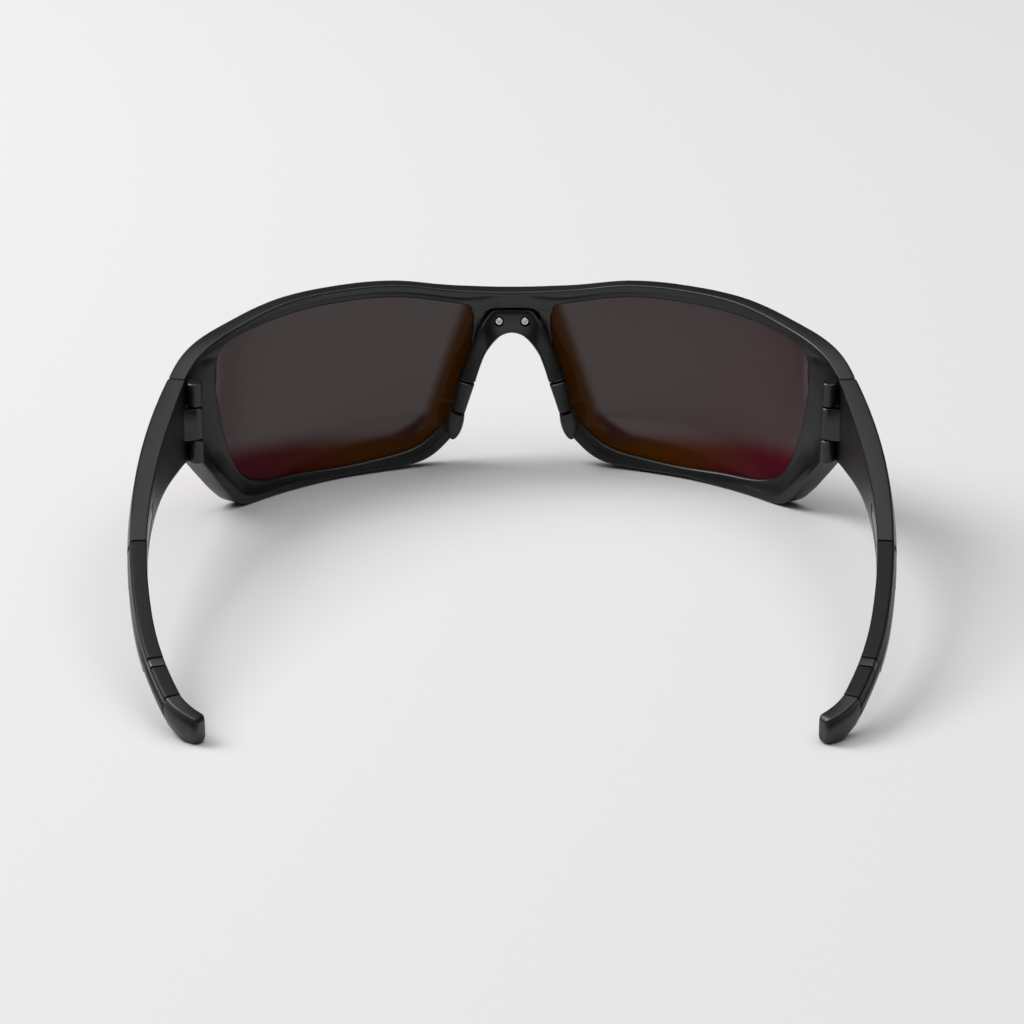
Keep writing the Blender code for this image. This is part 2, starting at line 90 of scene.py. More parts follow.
def wrap(s, z, t):
    """Millimetre point at length s, height z and depth t; the front also bulges as z^2 / 2R."""
    s, z, t = np.broadcast_arrays(*(np.asarray(v, float) for v in (s, z, t)))
    x, y, b = plan(s)
    front = 1.0 - smooth(66.0, 92.0, s)
    depth = t + front * (z - MID_Z) ** 2 / (2.0 * BULGE_R)
    y = y - depth * np.cos(b) + front * LEAN * (z - MID_Z)
    return np.stack((x - depth * np.sin(b), y, z), axis=-1)


def through(knots, divisions):
    """Smooth curve through knots: each span is the cubic whose end slopes join the neighbours."""
    p = np.asarray(knots, float)
    q = np.concatenate((2.0 * p[:1] - p[1:2], p, 2.0 * p[-1:] - p[-2:-1]))
    u = (np.arange(divisions) / divisions)[:, None]
    a, b, c, d = (q[i : len(q) - 3 + i, None, :] for i in range(4))
    cubic = 2 * b + (c - a) * u + (2 * a - 5 * b + 4 * c - d) * u**2
    cubic = 0.5 * (cubic + (3 * b - a - 3 * c + d) * u**3)
    return np.concatenate((cubic.reshape(-1, p.shape[1]), p[-1:]))


print("half the wrap's width", round(float(plan(94.2)[0]), 1), "mm")

# %% [markdown]
# ## Turning grids of points into pieces
#
# Every piece is one or more closed skins, and a skin is a grid: loops of points carried
# along a path.  These helpers join neighbouring loops with quads, close the ends, mirror a
# right-hand piece for the left, and turn a skin over if its volume comes out negative, so
# that all faces point outwards.

# %% Skins and pieces
def tube(loops, closed=False):
    """Skin over loops (count, around, 3); open ends are closed by a fan to the loop's mean."""
    n, m = loops.shape[:2]
    i, j = np.meshgrid(np.arange(n if closed else n - 1), np.arange(m), indexing="ij")
    a, b = i * m, (i + 1) % n * m
    k = (j + 1) % m
    faces = np.stack((a + j, a + k, b + k, b + j), axis=-1).reshape(-1, 4).tolist()
    points = loops.reshape(-1, 3)
    if closed:
        return points, faces
    points = np.concatenate((points, loops[[0, -1]].mean(axis=1)))
    first, last = np.arange(m), (n - 1) * m + np.arange(m)
    faces += np.stack((np.full(m, n * m), np.roll(first, -1), first), axis=1).tolist()
    faces += np.stack((np.full(m, n * m + 1), last, np.roll(last, -1)), axis=1).tolist()
    return points, faces


def volume(points, faces):
    """Sum of the tetrahedra between the origin and each face, cut into triangles."""
    tris = np.array([(f[0], f[k], f[k + 1]) for f in faces for k in range(1, len(f) - 1)])
    a, b, c = (points[tris[:, i]] for i in range(3))
    return float((a * np.cross(b, c)).sum() / 6.0)


def outward(skin):
    points, faces = skin
    if volume(points, faces) < 0.0:
        faces = [f[::-1] for f in faces]
    return points, faces


def mirrored(skin):
    points, faces = skin
    return points * (-1.0, 1.0, 1.0), [f[::-1] for f in faces]


def make_piece(name, skins, finish, body, sharp=35.0):
    """One object from closed skins in millimetres, standing for the CAD node of its name."""
    points, faces, count = [], [], 0
    for skin_points, skin_faces in map(outward, skins):
        points.append(skin_points)
        faces += [[v + count for v in f] for f in skin_faces]
        count += len(skin_points)
    mesh = bpy.data.meshes.new(name)
    mesh.from_pydata((np.concatenate(points) * MM).tolist(), [], faces)
    mesh.shade_smooth()
    mesh.set_sharp_from_angle(angle=math.radians(sharp))
    mesh.materials.append(finish)
    piece = bpy.data.objects.new(name + "_fine", mesh)
    bpy.context.scene.collection.objects.link(piece)
    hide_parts(name)
    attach(piece, body)
    print(f"{name}: {len(faces)} faces")
    return piece


def bored(skin, cutters):
    """The skin with each closed cutter skin taken out of it."""
    made = []
    for points, faces in map(outward, [skin, *cutters]):
        mesh = bpy.data.meshes.new("work")
        mesh.from_pydata(points.tolist(), [], faces)
        made.append(bpy.data.objects.new("work", mesh))
        bpy.context.scene.collection.objects.link(made[-1])
    for cutter in made[1:]:
        cut = made[0].modifiers.new("cut", "BOOLEAN")
        cut.operation = "DIFFERENCE"
        cut.solver = "EXACT"
        cut.object = cutter
    ready = made[0].evaluated_get(bpy.context.evaluated_depsgraph_get()).to_mesh()
    points = np.empty(len(ready.vertices) * 3)
    ready.vertices.foreach_get("co", points)
    faces = [list(p.vertices) for p in ready.polygons]
    for item in made:
        bpy.data.objects.remove(item)
    return points.reshape(-1, 3), faces


# %% [markdown]
# ## Finishes
#
# Nearly everything here is black, so the finishes differ in how they shine.  The frame is
# injection-moulded nylon from a spark-eroded mould: satin, with a fine grit.  The grips
# are moulded rubber, duller than the nylon, and the nose pads are a softer, greyer one.
# A moulded surface is a base colour, a fine grain that breaks up the highlight, and slow
# clouds of roughness where the surface has been handled.  Image textures would not
# survive a change of size.

# %% One helper for nodes and one for colour
def linear(code):
    """Hex sRGB to linear RGBA: (c + 0.055) / 1.055 to the power 2.4 above the toe."""
    c = np.array([int(code[i : i + 2], 16) for i in (1, 3, 5)]) / 255.0
    c = np.where(c <= 0.04045, c / 12.92, ((c + 0.055) / 1.055) ** 2.4)
    return (*c.tolist(), 1.0)


def add_node(tree, kind, settings, inputs):
    """A node with its settings; an input is a value, or a socket to link from."""
    made = tree.nodes.new(kind)
    for name, value in settings.items():
        setattr(made, name, value)
    for name, value in inputs.items():
        if isinstance(value, bpy.types.NodeSocket):
            tree.links.new(value, made.inputs[name])
        else:
            made.inputs[name].default_value = value
    return made


def new_finish(name, **fixed):
    finish = bpy.data.materials.new(name)
    finish.use_nodes = True
    shader = finish.node_tree.nodes["Principled BSDF"]
    for socket, value in fixed.items():
        shader.inputs[socket.replace("_", " ")].default_value = value
    place = add_node(finish.node_tree, "ShaderNodeTexCoord", {}, {}).outputs["Object"]
    return finish, finish.node_tree, shader, place


def noise(tree, place, size_mm, detail=2.0):
    """Noise whose blobs are about this many millimetres across."""
    fixed = {"Vector": place, "Scale": 1.0 / (size_mm * MM), "Detail": detail}
    return add_node(tree, "ShaderNodeTexNoise", {}, fixed).outputs["Fac"]


def spread(tree, value, low, high, start=0.0, end=1.0, curve="LINEAR"):
    """The value between start and end, stretched over low to high."""
    fixed = {"Value": value, "From Min": start, "From Max": end, "To Min": low, "To Max": high}
    made = add_node(tree, "ShaderNodeMapRange", {"interpolation_type": curve}, fixed)
    return made.outputs["Result"]


def blend(tree, share, first, second):
    """First colour where the share is 0, second where it is 1."""
    fixed = {"Factor": share, "A": first, "B": second}
    return add_node(tree, "ShaderNodeMix", {"data_type": "RGBA"}, fixed).outputs["Result"]


# %% Moulded plastic and rubber
CLOUD_MM = 18.0


def moulded(name, dark, pale, grain_mm, depth_mm, rough, ior):
    """Noise at the grain's size gives bump; slow clouds shift colour and roughness."""
    finish, tree, shader, place = new_finish(name, IOR=ior)
    grain = noise(tree, place, grain_mm)
    clouds = noise(tree, place, CLOUD_MM, 4.0)
    fixed = {"Height": grain, "Distance": depth_mm * MM, "Strength": 1.0}
    bump = add_node(tree, "ShaderNodeBump", {}, fixed)
    tree.links.new(bump.outputs["Normal"], shader.inputs["Normal"])
    tree.links.new(spread(tree, clouds, *rough, 0.3, 0.7), shader.inputs["Roughness"])
    tone = blend(tree, clouds, linear(dark), linear(pale))
    tree.links.new(tone, shader.inputs["Base Color"])
    return finish


# Spark-eroded grit is about 0.1 mm; 0.25 mm is drawn, the finest that shows.
NYLON = moulded("satin_black_nylon", "#0c0d0e", "#151617", 0.25, 0.004, (0.30, 0.38), 1.53)
BLOCK = moulded("nylon_pad_block", "#161718", "#1e1f20", 0.25, 0.004, (0.34, 0.42), 1.53)
BAND = moulded("nylon_band", "#0e0f10", "#17181a", 0.25, 0.003, (0.26, 0.32), 1.53)
TIP = moulded("nylon_tip", "#101112", "#1a1b1c", 0.25, 0.004, (0.32, 0.40), 1.53)
INLAY = moulded("polished_nylon_inlay", "#08090a", "#0e0f10", 0.40, 0.002, (0.18, 0.24), 1.53)
RUBBER = moulded("moulded_black_rubber", "#0b0b0b", "#141414", 0.35, 0.010, (0.42, 0.52), 1.50)
# Rubber blooms: a thin dull film that weakens its shine.
RUBBER.node_tree.nodes["Principled BSDF"].inputs["Specular IOR Level"].default_value = 0.25
PAD_RUBBER = moulded("soft_grey_black_rubber", "#1f2021", "#2a2b2c", 0.35, 0.008, (0.50, 0.60), 1.50)


# %% [markdown]
# The lenses are tinted polycarbonate, with a mirror film of a few hundred nanometres on
# the front.  From behind, the red at the outer lower corner and the orange by the nose
# are painted reflection.  On a real lens these colours show where the sheet mirrors a
# dark part of the room.  Here they are painted in by place, with the shine turned down
# under them, so that they stay where they are.  The tint lets so little light through
# that the lens is drawn solid.

# %% Lens and steel
CORNER_X = (28.0, 58.0)
BOTTOM_SLANT = -0.15
BOTTOM_EDGE = (0.0, 5.5)
NOSE_SLANT = 0.35
NOSE_EDGE = (21.5, 24.5)
SHINE = (0.05, 0.5)
POLISH_MM = 30.0


def lens_finish(name, low, high, corner, metallic, rough):
    """Painted reflection by place: low colour beside the nose and below, corner colour low outside; high
    colour and full shine elsewhere.
    """
    finish, tree, shader, place = new_finish(name, IOR=1.58, Metallic=metallic)
    parts = add_node(tree, "ShaderNodeSeparateXYZ", {}, {"Vector": place}).outputs
    width = add_node(tree, "ShaderNodeMath", {"operation": "ABSOLUTE"}, {0: parts["X"]}).outputs[0]

    def share(value, edges):
        return spread(tree, value, 0.0, 1.0, edges[0] * MM, edges[1] * MM, "SMOOTHSTEP")

    def slant(value, other, factor):
        fixed = {0: other, 1: factor, 2: value}
        return add_node(tree, "ShaderNodeMath", {"operation": "MULTIPLY_ADD"}, fixed).outputs[0]

    # up falls to 0 along the lower edge and inner falls to 0 beside the nose. Where either does, the
    # painted reflection colour is laid in and the shine is turned down.
    up = share(slant(parts["Z"], width, BOTTOM_SLANT), BOTTOM_EDGE)
    inner = share(slant(width, parts["Z"], NOSE_SLANT), NOSE_EDGE)
    clear = add_node(tree, "ShaderNodeMath", {"operation": "MULTIPLY"}, {0: up, 1: inner}).outputs[0]
    tree.links.new(spread(tree, clear, *SHINE), shader.inputs["Specular IOR Level"])
    painted_reflection_colour = blend(tree, share(width, CORNER_X), linear(low), linear(corner))
    tree.links.new(blend(tree, clear, painted_reflection_colour, linear(high)), shader.inputs["Base Color"])
    polish = spread(tree, noise(tree, place, POLISH_MM), rough, rough + 0.04)
    tree.links.new(polish, shader.inputs["Roughness"])
    return finish


# Both lens finishes carry the same painted reflection zone, each in its own colours.
LENS_BACK = lens_finish("tinted_polycarbonate", "#4c2a06", "#3a1c1e", "#4e0618", 0.0, 0.04)
LENS_FRONT_COAT = lens_finish("mirror_coat", "#c06018", "#a03418", "#9c1430", 0.9, 0.05)


def turned_steel(name):
    """Steel whose fine turning marks are drawn as 0.2 mm noise in the roughness."""
    finish, tree, shader, place = new_finish(name, Metallic=1.0)
    shader.inputs["Base Color"].default_value = linear("#c4c9cb")
    marks = noise(tree, place, 0.2)
    tree.links.new(spread(tree, marks, 0.16, 0.34), shader.inputs["Roughness"])
    return finish


STEEL = turned_steel("turned_stainless_steel")
print("finishes", [finish.name for finish in bpy.data.materials])

# %% [markdown]
# ## Frame front
#
# One moulding: brow, two rims, and an endpiece at each side.  It could be cut from a block
# with booleans, but its rims swell and thin all the way round.  So a section is carried
# round the lens opening: stations name the opening's edge, the outer edge and the depth at
# both, and a smooth curve joins them.  The section's edges are rounded by how far a point
# lies from the outline, which keeps the brow's long edge even.

# %% Stations round one lens opening
SPLIT_S = 94.2
TOP = (
    ((10, 36), (0, 39), 4.4, 5.2),
    ((15, 37), (14, 40), 4.4, 5.0),
    ((27, 39), (27, 42), 4.3, 4.8),
    ((40, 39.5), (40, 42.5), 4.2, 4.5),
    ((55, 39), (56, 42), 4.2, 4.4),
    ((68, 37.5), (71, 39.5), 4.2, 4.4),
    ((76, 36), (82, 37.5), 4.2, 4.4),
    ((78, 33), (SPLIT_S, 34), 4.2, 3.9),
)
END = (
    ((78, 33), (SPLIT_S, 34), 4.2, 3.9),
    ((78, 28), (SPLIT_S, 27), 4.2, 3.9),
    ((77, 24), (SPLIT_S, 21), 4.2, 3.9),
    ((76, 20), (SPLIT_S, 16), 4.2, 3.9),
)
BOTTOM = (
    ((76, 20), (SPLIT_S, 16), 4.2, 3.9),
    ((75.5, 18), (90, 15.5), 4.2, 4.6),
    ((74.5, 15.5), (86, 13), 4.2, 4.8),
    ((73, 11.5), (81, 8.5), 4.2, 5.0),
    ((70.5, 7.5), (76.5, 4), 4.2, 5.0),
    ((67, 5), (72.5, 1), 4.2, 4.8),
    ((61, 3.5), (66, 0), 4.1, 4.5),
    ((52, 3), (54, 0), 4.0, 4.1),
    ((42, 2.5), (42, 0.5), 4.0, 4.0),
    ((32, 3), (32, 0.5), 4.0, 4.0),
    ((23, 4.5), (21.5, 1.5), 4.0, 4.1),
    ((17.5, 8), (15, 5.5), 4.1, 4.2),
    ((14, 12), (11.5, 10.5), 4.2, 4.2),
    ((11, 19.5), (8.5, 19), 4.2, 4.2),
    ((9.5, 26.5), (7, 27), 4.2, 4.2),
    ((9, 30), (5, 31), 4.2, 4.3),
    ((9, 32), (0, 32), 4.2, 4.5),
)
CENTRE = (
    ((9, 32), (0, 32), 4.2, 4.5),
    ((9, 33.5), (0, 33.5), 4.2, 4.7),
    ((9.5, 34.5), (0, 35.5), 4.2, 4.9),
    ((9.5, 35), (0, 36.5), 4.3, 5.1),
    ((10, 36), (0, 39), 4.4, 5.2),
)


def stations():
    """The four runs as smooth curves, end to end: opening, outer edge, depths, centre-line flag."""
    runs = []
    for run, divisions in ((TOP, 10), (END, 8), (BOTTOM, 10), (CENTRE, 8)):
        flat = [(*a, *b, da, db) for a, b, da, db in run]
        runs.append(through(flat, divisions)[:-1])
    ring = np.concatenate(runs)
    ring[:, 2:4] = np.maximum(ring[:, 2:4], 0.0)
    on_line = np.arange(len(ring)) >= len(ring) - len(runs[-1])
    on_line[0] = True
    return ring[:, 0:2], ring[:, 2:4], ring[:, 4], ring[:, 5], on_line


OPENING, OUTER, DEEP_IN, DEEP_OUT, ON_LINE = stations()
# Where two runs join, the opening's edge is softened by a weighted mean of its neighbours.
SOFTEN = {-2: 1, -1: 2, 0: 3, 1: 2, 2: 1}
OPENING = sum(w * np.roll(OPENING, k, axis=0) for k, w in SOFTEN.items()) / sum(SOFTEN.values())
# Lift the middle of the brow on a parabola, so that the halves meet level instead of in a V.
BROW_SLOPE = 1.0 / 14.0
BROW_LOW = 38.0
LEVEL_HALF = 6.0
near_middle = np.clip(LEVEL_HALF - OUTER[:, 0], 0.0, None) * (OUTER[:, 1] > BROW_LOW)
OUTER[:, 1] += BROW_SLOPE * near_middle**2 / (2.0 * LEVEL_HALF)
print("stations round one opening", len(OPENING))

# %% Carry the section round
GROOVE = 1.0
GROOVE_T = (3.4, 3.4, 0.6, 0.6)
EDGE_FRONT = 0.8
EDGE_REAR = 0.5
LIP = 0.4
LIP_DROP = 0.25
SHELF = 2.4
ROWS = 28
RECESS_HALF = 7.0
RECESS_FOOT = 30.0
RECESS_RISE = 5.5
RECESS_FLOOR = 2.2
DISH = 1.0
DISH_LENGTH = (6, 12)
DISH_START = 20
CLOSE = np.array([1, 0.8, 0.6, 0.42, 0.27, 0.14, 0.05, 0])


def outline_distance(points):
    """Shortest distance from each flat point to the outer edge, leaving out the centre line."""
    edge = np.concatenate((OUTER[:1], OUTER[~ON_LINE], OUTER[-1:] * 0 + (0, 32)))
    a, ab = edge[:-1], np.diff(edge, axis=0)
    ap = points[..., None, :] - a
    k = np.clip((ap * ab).sum(-1) / np.maximum((ab * ab).sum(-1), 1e-9), 0, 1)
    return np.linalg.norm(ap - k[..., None] * ab, axis=-1).min(-1)


def rounded(distance, radius):
    """Height lost on a quarter circle: r - sqrt(r^2 - (r - distance)^2)."""
    inside = np.clip(radius - distance, 0.0, radius)
    return radius - np.sqrt(radius**2 - inside**2)


def recess(flat):
    """1 inside the arch (s / half)^4 + ((z - foot) / rise)^4 < 1, falling to 0 across its edge."""
    across = np.abs(flat[..., 0]) / RECESS_HALF
    up = np.maximum(flat[..., 1] - RECESS_FOOT, 0.0) / RECESS_RISE
    return 1.0 - smooth(0.92, 1.0, (across**4 + up**4) ** 0.25)


def front_loops():
    """Section loops (station, point, xyz): front face outwards, rear face back, then groove."""
    length = np.linalg.norm(OUTER - OPENING, axis=1)[:, None]
    aim = ((OUTER - OPENING) / length)[:, None, :]
    edge = np.minimum(EDGE_FRONT, 0.4 * length)
    lip = np.minimum(LIP, 0.3 * length) * np.array([0.0, 0.15, 0.45, 1.0])
    along = np.linspace(0.0, 1.0, ROWS)[None, 1:-1]
    even = lip[:, -1:] + (length - edge - lip[:, -1:]) * along
    rows = np.concatenate((lip, even, length - edge * CLOSE), axis=1)
    flat = OPENING[:, None, :] + aim * rows[..., None]
    away = outline_distance(flat)
    lost = LIP_DROP * np.clip(1.0 - rows / LIP, 0, 1) ** 2
    front = rounded(away, EDGE_FRONT) + lost
    ramp = np.clip(rows / np.maximum(length - SHELF, 0.5 * length), 0, 1) ** 2
    rear = DEEP_IN[:, None] + (DEEP_OUT - DEEP_IN)[:, None] * ramp
    dish = DISH * smooth(*DISH_LENGTH, length) * np.sin(math.pi * rows / length)
    rear = rear - dish * (flat[..., 0] > DISH_START)
    rear = rear + (RECESS_FLOOR - rear) * recess(flat)
    rear = rear - rounded(away, EDGE_REAR) - lost
    groove = OPENING[:, None, :] + aim * np.array([0.0, GROOVE, GROOVE, 0.0])[:, None]
    flat = np.concatenate((flat, flat[:, ::-1], groove), axis=1)
    seat_t = np.broadcast_to(np.array(GROOVE_T), (len(rows), 4))
    depth = np.concatenate((front, rear[:, ::-1], seat_t), axis=1)
    return wrap(flat[..., 0], flat[..., 1], depth), rows.shape[1]


def whole_front():
    """Both halves, welded where the outer edge runs along the centre line."""
    loops, width = front_loops()
    n, m = loops.shape[:2]
    right = loops.reshape(-1, 3)
    number = np.arange(n * m)
    shared = np.abs(right[:, 0]) < 1e-6
    other = np.where(shared, number, n * m + number)
    i, j = np.meshgrid(np.arange(n), np.arange(m), indexing="ij")
    i2, j2 = (i + 1) % n, (j + 1) % m
    keep = ~((j == width - 1) & ON_LINE[i] & ON_LINE[i2])
    quads = np.stack((i * m + j, i2 * m + j, i2 * m + j2, i * m + j2), axis=-1)[keep]
    quads = np.concatenate((quads, other[quads[:, ::-1]]))
    both = np.concatenate((right, right * (-1.0, 1.0, 1.0)))
    used, quads = np.unique(quads, return_inverse=True)
    return both[used], quads.reshape(-1, 4).tolist()


# %% [markdown]
# ## Hinge barrels
#
# Each hinge is three barrels on one pin, two moulded on the frame and one on the temple.
# Seen from above a barrel is a circle drawn out to its root.  The outline is the hull of
# that circle and a point, stacked at a few heights, with the ends a little smaller so
# that they catch the light as a real edge does, and then bored for the pin.

# %% Barrels and pins
AXIS = (64.7, 27.6)
BARREL_R = 1.5
BORE_R = 0.95
PIN_R = 0.65
KNUCKLE_Z = (16.2, 21.1, 21.4, 28.1, 28.4, 33.4)
FRAME_WEB = (2.9, 6.0)
ARM_WEB = (2.6, -2.2)
CHAMFER = 0.2


def disc(centre, radius, height, count=48):
    """Circle of points: centre plus radius x (cosine, sine) at one height."""
    turn = np.arange(count) * 2.0 * math.pi / count + 0.11
    flat = np.stack((np.cos(turn), np.sin(turn)), axis=1) * radius + centre
    return np.column_stack((flat, np.full(count, height)))


def post(centre, radius, low, high, chamfer=0.0):
    """Upright cylinder, its ends smaller by the chamfer."""
    small = radius - chamfer
    rings = ((small, low), (radius, low + chamfer), (radius, high - chamfer), (small, high))
    return tube(np.stack([disc(centre, r, z) for r, z in rings]))


def barrel(low, high, web):
    """Drawn-out circle stacked from low to high: tangent points, the long arc, then the root."""
    reach, aim = math.hypot(*web), math.atan2(web[1], web[0])
    loops = []
    for inset, z in ((CHAMFER, low), (0.0, low + CHAMFER), (0.0, high - CHAMFER), (CHAMFER, high)):
        radius = BARREL_R - inset
        half = math.acos(radius / reach)
        turn = np.linspace(aim + half, aim - half + 2.0 * math.pi, 40)
        arc = np.stack((np.cos(turn), np.sin(turn)), axis=1) * radius + AXIS
        root = np.array([[AXIS[0] + web[0], AXIS[1] + web[1]]])
        flat = np.concatenate((arc, root))
        loops.append(np.column_stack((flat, np.full(len(flat), z))))
    return tube(np.stack(loops))


low, low_top, mid, mid_top, high, high_top = KNUCKLE_Z
pin_hole = post(AXIS, BORE_R, low - 1.0, high_top - 1.2)
frame_barrels = [bored(barrel(a, b, FRAME_WEB), [pin_hole]) for a, b in ((low, low_top), (high, high_top))]
arm_barrel = bored(barrel(mid, mid_top, ARM_WEB), [pin_hole])
skins = [whole_front(), *frame_barrels, *map(mirrored, frame_barrels)]
make_piece("frame_front", skins, NYLON, "front")

for side, turn in (("right", lambda skin: skin), ("left", mirrored)):
    pin = turn(post(AXIS, PIN_R, low + 0.3, high_top - 1.6, 0.12))
    make_piece("hinge_pin_" + side, [pin], STEEL, "front")

# %% [markdown]
# ## Lenses
#
# A lens is a 2 mm sheet that sits in the groove.  It could be a flat plate bent by a
# modifier, but it has to follow the frame's own curve.  So rings are shrunk from the
# opening towards one point, and both faces are rolled up with the same wrap.  The front
# face takes the mirror coat and the rest takes the tinted body.

# %% Lens sheets
LENS_REACH = 0.5
LENS_CENTRE = (43, 20.5)
LENS_T = (1.0, 3.0)
LENS_RINGS = 36


def lens_loops():
    """Rings f x (edge - centre) + centre: out over the front face, back over the rear one."""
    aim = (OUTER - OPENING) / np.linalg.norm(OUTER - OPENING, axis=1)[:, None]
    edge = OPENING + LENS_REACH * aim
    f = np.linspace(0.02, 1.0, LENS_RINGS)[:, None, None]
    flat = np.array(LENS_CENTRE) + f * (edge - LENS_CENTRE)
    faces = [wrap(sheet[..., 0], sheet[..., 1], t) for sheet, t in zip((flat, flat[::-1]), LENS_T)]
    return np.concatenate(faces)


lens = tube(lens_loops())
for side, turn in (("right", lambda skin: skin), ("left", mirrored)):
    piece = make_piece("lens_" + side, [turn(lens)], LENS_BACK, "front")
    piece.data.materials.append(LENS_FRONT_COAT)
    rings = LENS_RINGS - 1
    on_front = np.zeros(len(piece.data.polygons), np.int32)
    on_front[: rings * len(OPENING)] = 1
    on_front[2 * LENS_RINGS * len(OPENING) - len(OPENING) :][: len(OPENING)] = 1
    piece.data.polygons.foreach_set("material_index", on_front)

# %% [markdown]
# ## Nosepiece
#
# A saddle of the same nylon is screwed into a recess under the brow.  Its two arms come
# back and down to the pad blocks and soft rubber pads.  The arms change width and depth
# all the way, so each station names the edge by the nose and the edge by the lens, and a
# rounded section with a faint ridge on its rear fills the space between the two.

# %% Saddle, blocks and pads
SADDLE = (
    ((0, 29.5), (0, 35), 75.4, 2.4),
    ((2, 29), (3.5, 35), 75.4, 2.4),
    ((3.5, 28), (5, 34), 74.8, 2.4),
    ((5, 26.5), (6.5, 32), 73.5, 2.5),
    ((6, 25), (8, 29.5), 72.8, 2.5),
    ((7, 22.5), (9.5, 25.5), 72.2, 3),
    ((8, 19.5), (11.6, 20.5), 71.5, 4),
)
PAD_BLOCK = (
    ((8.1, 19.1), (11.7, 20.1), 71.5, 4.2),
    ((9.2, 16), (12.5, 16.5), 71, 4.5),
    ((10.2, 13), (13, 14), 70.5, 4.8),
)
PAD = (
    ((10.3, 12.5), (13.6, 13.4), 70.5, 5),
    ((10.6, 10.5), (14.2, 10.8), 70.3, 5),
    ((11.3, 8.6), (13.9, 8), 70.2, 4),
    ((12.3, 7.2), (13.3, 7), 70, 2.5),
)
SQUARENESS = 3.2
RIDGE = 0.06


def bar(pairs, divisions, ends=0.25):
    """Squarish ellipse |a|^p + |b|^p = 1 between two edges, its ends drawn in over a curve."""
    p = through([(*near, *far, y, depth) for near, far, y, depth in pairs], divisions)
    zero = 0.0 * p[:, 0]
    middle = np.stack(((p[:, 0] + p[:, 2]) / 2.0, p[:, 4], (p[:, 1] + p[:, 3]) / 2.0), axis=1)
    across = np.stack((p[:, 2] - p[:, 0], zero, p[:, 3] - p[:, 1]), axis=1) / 2.0
    half = np.linalg.norm(across, axis=1)[:, None]
    turn = np.arange(48) * 2.0 * math.pi / 48
    a, b = (np.sign(w) * np.abs(w) ** (2.0 / SQUARENESS) for w in (np.cos(turn), np.sin(turn)))
    b = np.where(b < 0, b * (1.0 - RIDGE + RIDGE * (1.0 - np.abs(a))), b)
    gone = np.concatenate(([0], np.cumsum(np.linalg.norm(np.diff(middle, axis=0), axis=1))))
    lost = rounded(np.minimum(gone, gone[-1] - gone), ends)[:, None]
    wide = (across * (1.0 - lost / half))[:, None, :] * a[:, None]
    deep = (p[:, 5:6] / 2.0 - lost) * b
    return tube(middle[:, None, :] + wide + deep[..., None] * (0.0, 1.0, 0.0))


SCREW = (2.8, 32.3)
HEAD_R = 0.85
SINK_R = 1.15
SHANK_R = 0.45
HEAD_Y = (74.3, 75.1)
CROSS_DEPTH = 0.45
CROSS_HALF = (0.55, 0.11)
CROSS_TURN = 0.4


def rod(x, z, radius, near, far, chamfer=0.0):
    """Cylinder along Y: an upright post with its height laid along Y."""
    points, faces = post((x, -z), radius, near, far, chamfer)
    return np.stack((points[:, 0], points[:, 2], -points[:, 1]), axis=1), faces


def slot_cut(x, z, turn):
    """One arm of the cross recess: a thin box across the screw head, turned about its axis."""
    along, across = np.array([math.cos(turn), math.sin(turn)]), np.array([-math.sin(turn), math.cos(turn)])
    long, thin = CROSS_HALF
    loops = []
    for y in (HEAD_Y[0] - 0.3, HEAD_Y[0] + CROSS_DEPTH):
        corners = [a * long * along + b * thin * across for a, b in ((1, 1), (-1, 1), (-1, -1), (1, -1))]
        loops.append([(x + c[0], y, z + c[1]) for c in corners])
    return tube(np.array(loops))


left_half = [((-a, za), (-b, zb), y, depth) for (a, za), (b, zb), y, depth in reversed(SADDLE[1:])]
saddle = bar(left_half + list(SADDLE), 12)
sinks = [rod(x, SCREW[1], SINK_R, 70.0, 75.4) for x in (SCREW[0], -SCREW[0])]
make_piece("nosepiece", [bored(saddle, sinks)], NYLON, "front")

cross = [slot_cut(*SCREW, CROSS_TURN + quarter) for quarter in (0.0, math.pi / 2)]
screw_head = bored(rod(*SCREW, HEAD_R, *HEAD_Y, 0.15), cross)
for side, turn in (("right", lambda skin: skin), ("left", mirrored)):
    parts = [turn(screw_head), turn(rod(*SCREW, SHANK_R, 75.0, 77.8))]
    make_piece("nose_screw_" + side, parts, STEEL, "front")
    make_piece("nose_block_" + side, [turn(bar(PAD_BLOCK, 16))], BLOCK, "front")
    make_piece("nose_pad_" + side, [turn(bar(PAD, 14))], PAD_RUBBER, "front")

# %% [markdown]
# ## Temples
#
# Each temple is a tapering bar that follows the same wrap.  Its top edge carries a rubber
# grip, a narrow band and a second rubber strip, let in so that only thin seams show, and
# a cap closes the end.  All are lofts of one rounded section, so their edges line up, and
# each end is drawn in a little so that the seam between two pieces reads as a line.

# %% Temple sizes
ARM_START = 94.5
GRIP = (150.5, 186.3)
BAND_END = 188.9
ARM_END = 197.9
TIP_END = 206.6
STEP = 1.3
GRIP_T = 1.0
GAP = 0.3
ARM_TOP = 34.0
ARM_FALL = 0.26
ARM_HEIGHT = ((94.5, 18), (104, 15), (116, 11.5), (125, 9.5), (150, 6.2), (175, 5.2), (198, 5.2), (204, 6))
ARM_THICK = ((94.5, 3.9), (104, 4.2), (125, 4.0), (150, 3.3), (175, 3.1), (207, 3.1))
BELLY = 0.5
BELLY_FULL = 142.0
END_ROUND = 0.18
EDGE_TOP = 0.7


